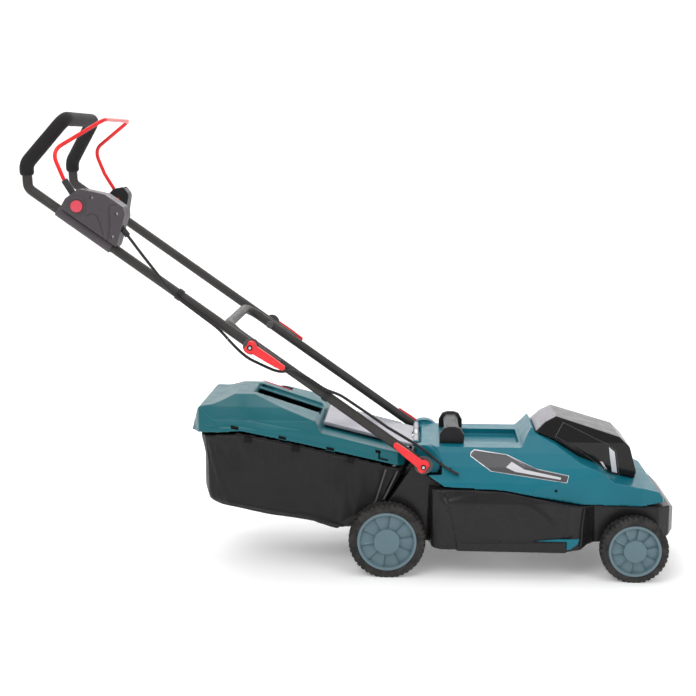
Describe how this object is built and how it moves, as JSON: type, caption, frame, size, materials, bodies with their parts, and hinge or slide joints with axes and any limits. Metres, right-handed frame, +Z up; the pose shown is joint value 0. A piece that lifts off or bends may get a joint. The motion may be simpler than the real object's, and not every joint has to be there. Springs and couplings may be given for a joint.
{
  "type": "push lawn mower",
  "caption": "Cordless walk-behind mower with folding handle, squeeze bail, cam levers, opening battery lid, spinning blade, rolling wheels and a pull-off grass box.",
  "frame": {"origin": "on the ground under the middle of the outline", "axes": "+X towards the front of the mower, +Y to its left side, +Z up"},
  "size_m": [1.3461, 0.4053, 0.956],
  "materials": {
    "black_plastic": "satin, fine grain",
    "teal_plastic": "satin gloss",
    "grey_wheel": "satin",
    "tyre_black": "dull, lugged",
    "red_plastic": "satin",
    "smoked_cover": "gloss",
    "flap_grey": "translucent look, ribbed",
    "switch_grey": "satin",
    "tube_paint": "satin powder coat",
    "red_rod": "gloss dip coat",
    "steel": "zinc plated",
    "alu": "die cast",
    "bag_fabric": "woven",
    "foam": "closed-cell foam",
    "copper_steel": "laminated, wound",
    "board_green": "circuit board",
    "cable_black": "satin"
  },
  "bodies": {
    "chassis": {"deck": "black_plastic", "lawn_combs": "teal_plastic", "top_cover": "teal_plastic", "carry_handle": "black_plastic", "battery_tray": "black_plastic", "controller_board": "board_green", "motor_can": "alu", "motor_stator": "copper_steel", "motor_bearings": "steel", "hinge_pins": "steel", "flap_spring": "steel", "axles": "steel", "axle_nuts": "steel", "lower_clamp_bolts": "steel", "cable_at_deck": "cable_black"},
    "rotor": {"rotor_shaft": "steel", "rotor_magnets": "steel", "blade_adapter": "alu", "blade": "steel", "blade_bolt": "steel"},
    "battery_lid": {"battery_lid": "smoked_cover"},
    "battery_pack_left": {"battery_pack_left": "black_plastic"},
    "battery_pack_right": {"battery_pack_right": "black_plastic"},
    "safety_key": {"safety_key": "red_plastic"},
    "rear_flap": {"rear_flap": "flap_grey"},
    "grass_box": {"grass_box_lid": "teal_plastic", "grass_bag": "bag_fabric", "bag_wires": "steel", "bag_clips": "black_plastic", "level_window_frame": "black_plastic"},
    "level_indicator": {"level_indicator": "red_plastic"},
    "lower_handle": {"lower_handle_tube": "tube_paint", "cable_lower": "cable_black", "cable_at_upper_fold": "cable_black"},
    "upper_handle": {"upper_handle_tube": "tube_paint", "foam_grip": "foam", "switch_box_outer": "switch_grey", "switch_box_inner": "switch_grey", "switch_box_screws": "steel", "button_spring": "steel", "microswitch": "black_plastic", "bail_bracket": "black_plastic", "cable_upper": "cable_black", "upper_clamp_bolts": "steel"},
    "bail": {"bail_rod": "red_rod", "bail_sleeve": "black_plastic"},
    "lock_button": {"lock_button": "red_plastic"},
    "wheel_rear_left": {"tyre_rear_left": "tyre_black", "wheel_rim_rear_left": "grey_wheel"},
    "wheel_rear_right": {"tyre_rear_right": "tyre_black", "wheel_rim_rear_right": "grey_wheel"},
    "wheel_front_left": {"tyre_front_left": "tyre_black", "wheel_rim_front_left": "grey_wheel"},
    "wheel_front_right": {"tyre_front_right": "tyre_black", "wheel_rim_front_right": "grey_wheel"},
    "cam_lever_lower_left": {"cam_lever_lower_left": "red_plastic"},
    "cam_lever_lower_right": {"cam_lever_lower_right": "red_plastic"},
    "cam_lever_upper_left": {"cam_lever_upper_left": "red_plastic"},
    "cam_lever_upper_right": {"cam_lever_upper_right": "red_plastic"}
  },
  "joints": [
    {"name": "wheel_rear_left_spin", "type": "hinge", "parent": "chassis", "child": "wheel_rear_left", "pos_m": [0.076, 0.171, 0.08], "axis": [0, 1, 0], "continuous": true},
    {"name": "wheel_rear_right_spin", "type": "hinge", "parent": "chassis", "child": "wheel_rear_right", "pos_m": [0.076, -0.171, 0.08], "axis": [0, 1, 0], "continuous": true},
    {"name": "wheel_front_left_spin", "type": "hinge", "parent": "chassis", "child": "wheel_front_left", "pos_m": [0.584, 0.171, 0.07], "axis": [0, 1, 0], "continuous": true},
    {"name": "wheel_front_right_spin", "type": "hinge", "parent": "chassis", "child": "wheel_front_right", "pos_m": [0.584, -0.171, 0.07], "axis": [0, 1, 0], "continuous": true},
    {"name": "blade_spin", "type": "hinge", "parent": "chassis", "child": "rotor", "pos_m": [0.321, 0, 0.1], "axis": [0, 0, 1], "continuous": true},
    {"name": "lower_handle_fold", "type": "hinge", "parent": "chassis", "child": "lower_handle", "pos_m": [0.1497, 0, 0.2377], "axis": [0, 1, 0], "range_deg": [0, 120], "deforming": ["cable_at_deck"]},
    {"name": "upper_handle_fold", "type": "hinge", "parent": "lower_handle", "child": "upper_handle", "pos_m": [-0.203, 0, 0.4847], "axis": [0, -1, 0], "range_deg": [-120, 60], "deforming": ["cable_at_upper_fold"]},
    {"name": "bail_squeeze", "type": "hinge", "parent": "upper_handle", "child": "bail", "pos_m": [-0.549, 0, 0.767], "axis": [0, 1, 0], "range_deg": [-14, 0], "stiffness_Nm_per_rad": 0.6, "springref_deg": 34.38},
    {"name": "lock_button_press", "type": "slide", "parent": "upper_handle", "child": "lock_button", "axis": [0, 1, 0], "range_m": [0, 0.004], "stiffness_N_per_m": 300, "deforming": ["button_spring"]},
    {"name": "cam_lever_lower_right_release", "type": "hinge", "parent": "chassis", "child": "cam_lever_lower_right", "pos_m": [0.1497, -0.173, 0.2377], "axis": [0.6109, 0, 0.7917], "range_deg": [0, 90]},
    {"name": "cam_lever_lower_left_release", "type": "hinge", "parent": "chassis", "child": "cam_lever_lower_left", "pos_m": [0.1497, 0.173, 0.2377], "axis": [-0.6109, 0, -0.7917], "range_deg": [0, 90]},
    {"name": "cam_lever_upper_right_release", "type": "hinge", "parent": "upper_handle", "child": "cam_lever_upper_right", "pos_m": [-0.203, -0.1928, 0.4847], "axis": [-0.5374, 0, -0.8433], "range_deg": [0, 90]},
    {"name": "cam_lever_upper_left_release", "type": "hinge", "parent": "upper_handle", "child": "cam_lever_upper_left", "pos_m": [-0.203, 0.1928, 0.4847], "axis": [0.5374, 0, 0.8433], "range_deg": [0, 90]},
    {"name": "battery_lid_open", "type": "hinge", "parent": "chassis", "child": "battery_lid", "pos_m": [0.6, 0, 0.202], "axis": [0, -1, 0], "range_deg": [-70, 0]},
    {"name": "battery_left_unplug", "type": "slide", "parent": "chassis", "child": "battery_pack_left", "axis": [0, 0, 1], "range_m": [0, 0.015]},
    {"name": "battery_right_unplug", "type": "slide", "parent": "chassis", "child": "battery_pack_right", "axis": [0, 0, 1], "range_m": [0, 0.015]},
    {"name": "safety_key_pull", "type": "slide", "parent": "chassis", "child": "safety_key", "axis": [0, 0, 1], "range_m": [0, 0.01]},
    {"name": "rear_flap_open", "type": "hinge", "parent": "chassis", "child": "rear_flap", "pos_m": [0.133, 0, 0.268], "axis": [0, 1, 0], "range_deg": [0, 60], "stiffness_Nm_per_rad": 0.3, "springref_deg": -28.65},
    {"name": "grass_box_pull", "type": "slide", "parent": "chassis", "child": "grass_box", "axis": [-0.9701, 0, 0.2425], "range_m": [0, 0.25]},
    {"name": "level_indicator_lift", "type": "hinge", "parent": "grass_box", "child": "level_indicator", "pos_m": [-0.2055, 0.09, 0.353], "axis": [0, -1, 0], "range_deg": [0, 25]}
  ]
}
